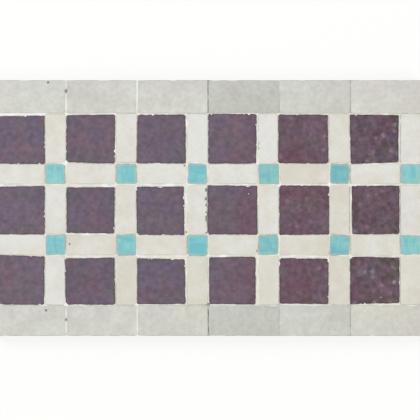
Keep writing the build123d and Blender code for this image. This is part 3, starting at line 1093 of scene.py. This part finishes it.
class JointMap:
    """What the mortar needs to know at each of its points: how the pieces round it lie."""

    def __init__(self, points, solids):
        self.points = points
        self.solids = solids
        self.edge_tiles = [solid for solid in solids if solid.name.startswith("grey_")]
        inside = np.stack([inside_distance(points, solid.outline) for solid in solids])
        ordered = np.sort(inside, axis=0)
        self.nearest = inside.argmax(axis=0)
        self.covered = ordered[-1]
        self.width = -(ordered[-1] + ordered[-2])
        self.away = {}
        for family in ("aubergine", "turquoise", "white", "grey"):
            members = [solid.name.startswith(family) for solid in solids]
            self.away[family] = -inside[members].max(axis=0)
        weights = np.exp(np.clip(inside, -LEVEL_REACH, LEVEL_REACH) / LEVEL_BLEND)
        tops = np.array([solid.top for solid in solids])
        self.level = (weights * tops[:, None]).sum(axis=0) / weights.sum(axis=0)

    def stretches(self, share, length, seed):
        """Patches from 0 to 1 of about the given length, that take up about the given share of the joints."""
        return np.clip(0.5 + 3 * (rough(self.points, length, seed) + 0.6 * (share - 0.5)), 0, 1)

    def line(self, family, width):
        """1 along the pieces of one family, and less away from them."""
        return np.exp(-((self.away[family] / width) ** 2))

    def chalk(self, look):
        """How fresh and white the joint is at each point: above the uppermost squares, and in places."""
        near = np.maximum(self.away["grey"], self.away["aubergine"]) < look.chalk_reach
        above = near & (self.points[:, 1] > 0) & (self.away["white"] > 0.3 * look.chalk_reach)
        along = (self.points[:, 0] - cad_box[0].x) / (cad_box[1].x - cad_box[0].x)
        repeat = np.clip(along * len(look.chalk_of_repeat), 0, len(look.chalk_of_repeat) - 1).astype(int)
        white = np.where(above, np.array(look.chalk_of_repeat)[repeat], 0.0)
        inner = self.away["grey"] > look.chalk_reach
        fresh = FRESH_WHITE * self.stretches(FRESH_SHARE, FRESH_LENGTH, seed=41.0)
        white = np.maximum(white, np.where(inner, fresh, 0.0))
        for seam, soil in self.seams(look):
            white[seam] = FRESH_WHITE * max(0.0, 1 - 3 * soil)
        white[self.knocked_off()] = 0.0
        return white

    def knocked_off(self):
        """Which points lie where a corner of an edge tile is knocked off."""
        found = np.zeros(len(self.points), dtype=bool)
        for solid in self.edge_tiles:
            low, high = solid.outline.min(axis=0), solid.outline.max(axis=0)
            inset = np.minimum(self.points - low, high - self.points)
            found |= (inset.min(axis=1) > 0) & (inset.max(axis=1) < SEAM_REACH)
        return found

    def seams(self, look):
        """The joint after each edge tile: which points lie in it, and how dark it is."""
        inner = min(np.abs(solid.outline[:, 1]).min() for solid in self.edge_tiles)
        for solid in self.edge_tiles:
            seam = np.abs(self.points[:, 0] - solid.outline[:, 0].max()) < SEAM_REACH
            seam &= (self.points[:, 1] * solid.centre[1] > 0) & (np.abs(self.points[:, 1]) > inner)
            yield seam, look.seam_darkness[repeat_of(solid.node) % len(look.seam_darkness)]

    def dirty_and_shaded_sides(self):
        """How dark the joints along the darkened sides are, with dirt and painted shade, from 0 to 1."""
        soil = np.zeros(len(self.points))
        for solid in self.solids:
            for side in DIRTY_AND_SHADED_SIDES.get(solid.name, DIRTY_AND_SHADED_SIDES.get(solid.node, ())):
                start, end = solid.side_ends(side)
                run = end - start
                share = np.clip((self.points - start) @ run / (run @ run), 0, 1)
                off = np.linalg.norm(self.points - start - share[:, None] * run, axis=1)
                soil = np.maximum(soil, np.exp(-((off / DIRTY_SHADED_SIDE_WIDTH) ** 2)))
        return soil * np.clip(0.8 + 0.8 * rough(self.points, DIRTY_SHADED_SIDE_LENGTH, seed=37.0), 0, 1)

    def soil(self, look):
        """How dark the joint is at each point, from 0 to 1: dirt, painted shade along the pieces, and the
        darker seams.
        """
        narrow = np.clip((look.soiled_width - self.width) / look.soiled_width, 0, 1)
        # Dirt and painted shade along the ends of the strips that meet the edge tiles.
        strip_ends = self.line("white", STRIP_END_WIDTH) * (self.away["grey"] < STRIP_END_REACH)
        soil = np.maximum.reduce((
            STRIP_END_DIRT_AND_SHADE * strip_ends,
            NARROW_SOIL * narrow * self.stretches(0.5, NARROW_LENGTH, seed=31.0),
            look.side_dirt_and_shade * self.dirty_and_shaded_sides(),
        ))
        # Lines of dirt and painted shade along the pieces of each family.
        for family, (dark, width, share, length, seed) in DIRT_AND_SHADE_LINES.items():
            lines = dark * self.line(family, width * MM) * self.stretches(share, length * MM, seed)
            soil = np.maximum(soil, lines)
        for seam, dark in self.seams(look):
            broken = 0.8 + 0.7 * rough(self.points[seam], SEAM_LENGTH, seed=33.0)
            soil[seam] = dark * np.clip(broken, 0, 1)
        corners = self.knocked_off()
        soil[corners] = np.maximum(soil[corners], CORNER_SOIL)
        soil[self.covered > DIRT_AND_SHADE_LAP] = 0.0
        return np.maximum(soil, np.minimum(SPOT_SOIL * dirt(self.points), 1))


class ZELLIGE_OT_mortar_bed(Operator):
    """Model the mortar bed with its joints and pockets"""

    bl_idname = "zellige.mortar_bed"
    bl_label = "Mortar Bed"

    def execute(self, context):
        look = context.scene.zellige_mortar
        low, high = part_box("mortar_bed")
        families = ("aubergine_square", "turquoise_square", "white_", "grey_")
        solids = [solid for start in families for node in nodes_named(start) for solid in solids_of(node)]
        bm = bmesh.new()
        points = self.lay_grid(bm, low, high, solids, look)
        joints = JointMap(points, solids)
        soil = joints.soil(look)
        large_lump, small_lump = SURFACE_LUMP_SIZES
        lumps = rough(points, large_lump, seed=3.0) + 0.5 * rough(points, small_lump, seed=7.0)
        hollow = look.hollow * np.clip(-joints.covered / HOLLOW_REACH, 0, 1)
        sunk = look.recess + 0.5 * look.unevenness * lumps + hollow + look.darkest_joint_depth * soil
        heights = joints.level - sunk
        dirt_and_shade_field = bm.verts.layers.float.new("soil")
        chalk_field = bm.verts.layers.float.new("chalk")
        bm.verts.layers.float.new("seed")
        pocket = bm.verts.layers.int.new("pocket")
        bm.verts.layers.int.new("side")
        marks = zip(bm.verts, points, heights, soil, joints.chalk(look), joints.nearest)
        for vertex, point, height, dark, white, piece in marks:
            vertex.co = (*point, height)
            vertex[dirt_and_shade_field] = dark
            vertex[chalk_field] = white
            vertex[pocket] = int(piece)
        bm.verts.index_update()
        hidden = [face for face in bm.faces if all(joints.covered[v.index] > look.lap for v in face.verts)]
        bmesh.ops.delete(bm, geom=hidden, context="FACES")
        self.close_pockets(bm, solids, pocket, low, high)
        self.close_slab(bm, low, high, look)
        for layer in ("pocket", "side"):
            bm.verts.layers.int.remove(bm.verts.layers.int[layer])
        finish_object(bm, "mortar_bed_cast", lime_mortar(look), "mortar_bed")
        return {"FINISHED"}

    def lay_grid(self, bm, low, high, solids, look):
        """Lays a grid over the whole bed, fine along the joints, and gives the places of its points."""
        reach = look.lap + look.cell
        lines = [
            grid_lines(low[axis], high[axis], side_spans(solids, axis, reach), look.cell, look.coarse_step)
            for axis in (0, 1)
        ]
        bmesh.ops.create_grid(bm, x_segments=len(lines[0]) - 1, y_segments=len(lines[1]) - 1, size=0.5)
        places = np.array([vertex.co.xy for vertex in bm.verts]) + 0.5
        counts = [np.rint(places[:, axis] * (len(lines[axis]) - 1)).astype(int) for axis in (0, 1)]
        return np.stack([lines[axis][counts[axis]] for axis in (0, 1)], axis=1)

    def close_pockets(self, bm, solids, pocket, low, high):
        """Takes the edge round every piece down to its back and closes the pocket's floor."""
        def on_side(vertex):
            return min(side_gaps(vertex, low, high)) < TOUCHING

        edges = [edge for edge in bm.edges if edge.is_boundary and not all(map(on_side, edge.verts))]
        floor, loops = extrude_rim(bm, edges)
        for vertex in floor:
            vertex.co.z = solids[vertex[pocket]].back
        bmesh.ops.edgeloop_fill(bm, edges=loops)

    def close_slab(self, bm, low, high, look):
        """Carries the outer edge down as a rough cast side and closes the back."""
        soil, chalk = (bm.verts.layers.float[name] for name in ("soil", "chalk"))
        side = bm.verts.layers.int["side"]
        edges = [edge for edge in bm.edges if edge.is_boundary]
        for vertex in {vertex for edge in edges for vertex in edge.verts}:
            gaps = side_gaps(vertex, low, high)
            vertex[side] = sum(1 << number for number, gap in enumerate(gaps) if gap < TOUCHING)
        for share in CAST_RINGS:
            verts, edges = extrude_rim(bm, edges)
            for vertex in verts:
                vertex.co.z = low.z + share * (high.z - low.z)
                lumps = noise.noise(vertex.co / CAST_LUMP_SIZE) + 0.7 * noise.noise(vertex.co / CAST_PIT_SIZE)
                inset = look.cast_roughness * min(max(0.5 + 0.7 * lumps, 0), 1)
                places = (low.x + inset, high.x - inset, low.y + inset, high.y - inset)
                for number, place in enumerate(places):
                    if vertex[side] & 1 << number:
                        vertex.co[number // 2] = place
                vertex[soil] = vertex[chalk] = 0.0
        bmesh.ops.edgeloop_fill(bm, edges=edges)


class ZELLIGE_OT_stage(Operator):
    """Set up the floor, the light and the camera"""

    bl_idname = "zellige.stage"
    bl_label = "Stage"

    def execute(self, context):
        look = context.scene.zellige_stage
        self.floor(look)
        self.light("key_light", look.key_power, KEY_PLACE, look.lamp_size)
        self.light("fill_light", look.fill_power, FILL_PLACE, look.lamp_size)
        self.sky(context.scene, look)
        self.camera(context.scene, look)
        context.scene.view_settings.view_transform = "Standard"
        return {"FINISHED"}

    def floor(self, look):
        """A pale floor that shows white to the camera and still takes the panel's shadow."""
        bm = bmesh.new()
        bmesh.ops.create_grid(bm, x_segments=1, y_segments=1, size=FLOOR_HALF)
        bmesh.ops.translate(bm, vec=(0, 0, cad_box[0].z - FLOOR_GAP), verts=bm.verts)
        mesh = bpy.data.meshes.new("floor")
        bm.to_mesh(mesh)
        bm.free()
        floor = bpy.data.objects.new("floor", mesh)
        bpy.context.scene.collection.objects.link(floor)
        finish = Finish("floor")
        seen = finish.tree.nodes.new("ShaderNodeLightPath").outputs
        shown = seen["Is Camera Ray"]
        for kind in ("Is Glossy Ray", "Is Transmission Ray"):
            shown = finish.math("MAXIMUM", shown, seen[kind])
        finish.surface(
            base_color=[look.floor_share * part for part in look.floor],
            roughness=1.0,
            specular_ior_level=0.0,
            emission_color=look.floor,
            emission_strength=finish.math("MULTIPLY", shown, look.floor_glow),
        )
        mesh.materials.append(finish.material)

    def light(self, name, power, place, size):
        """A square soft light that points at the middle of the panel."""
        lamp = bpy.data.lights.new(name, "AREA")
        lamp.shape = "SQUARE"
        lamp.size = size
        lamp.energy = power
        light = bpy.data.objects.new(name, lamp)
        light.location = place
        light.rotation_euler = (-Vector(place)).to_track_quat("-Z", "Y").to_euler()
        bpy.context.scene.collection.objects.link(light)

    def sky(self, scene, look):
        """Even white light from all round."""
        world = bpy.data.worlds.new("studio")
        world.use_nodes = True
        background = world.node_tree.nodes["Background"]
        background.inputs["Color"].default_value = (1, 1, 1, 1)
        background.inputs["Strength"].default_value = look.sky
        scene.world = world

    def camera(self, scene, look):
        """A long lens straight above the panel, square to it."""
        data = bpy.data.cameras.new("camera")
        data.lens = data.sensor_width * (look.camera_height - cad_box[1].z) / look.view_span
        data.clip_end = 2 * look.camera_height
        camera = bpy.data.objects.new("camera", data)
        camera.location = (look.view_x, look.view_y, look.camera_height)
        scene.collection.objects.link(camera)
        scene.camera = camera


class VIEW3D_PT_zellige(Panel):
    """The panel's operators and sizes in the sidebar"""

    bl_label = "Zellige Border Panel"
    bl_space_type = "VIEW_3D"
    bl_region_type = "UI"
    bl_category = "Zellige"

    def draw(self, context):
        for operator in OPERATORS:
            self.layout.operator(operator.bl_idname)
        for name in SETTINGS:
            settings = getattr(context.scene, name)
            box = self.layout.box()
            for key in settings.__annotations__:
                box.prop(settings, key)


SETTINGS = {
    "zellige_cut": CutSettings,
    "zellige_aubergine": AubergineSettings,
    "zellige_turquoise": TurquoiseSettings,
    "zellige_white": WhiteSettings,
    "zellige_grey": GreySettings,
    "zellige_mortar": MortarSettings,
    "zellige_stage": StageSettings,
}
OPERATORS = (
    ZELLIGE_OT_aubergine_squares,
    ZELLIGE_OT_turquoise_squares,
    ZELLIGE_OT_white_strips,
    ZELLIGE_OT_grey_edge_tiles,
    ZELLIGE_OT_mortar_bed,
    ZELLIGE_OT_stage,
)


def register():
    for cls in (*SETTINGS.values(), *OPERATORS, VIEW3D_PT_zellige):
        bpy.utils.register_class(cls)
    for name, cls in SETTINGS.items():
        setattr(bpy.types.Scene, name, PointerProperty(type=cls))


def unregister():
    for name in SETTINGS:
        delattr(bpy.types.Scene, name)
    for cls in (VIEW3D_PT_zellige, *reversed(OPERATORS), *reversed(SETTINGS.values())):
        bpy.utils.unregister_class(cls)


def main():
    register()
    for operator in OPERATORS:
        group, name = operator.bl_idname.split(".")
        getattr(getattr(bpy.ops, group), name)()


if __name__ == "__main__":
    main()
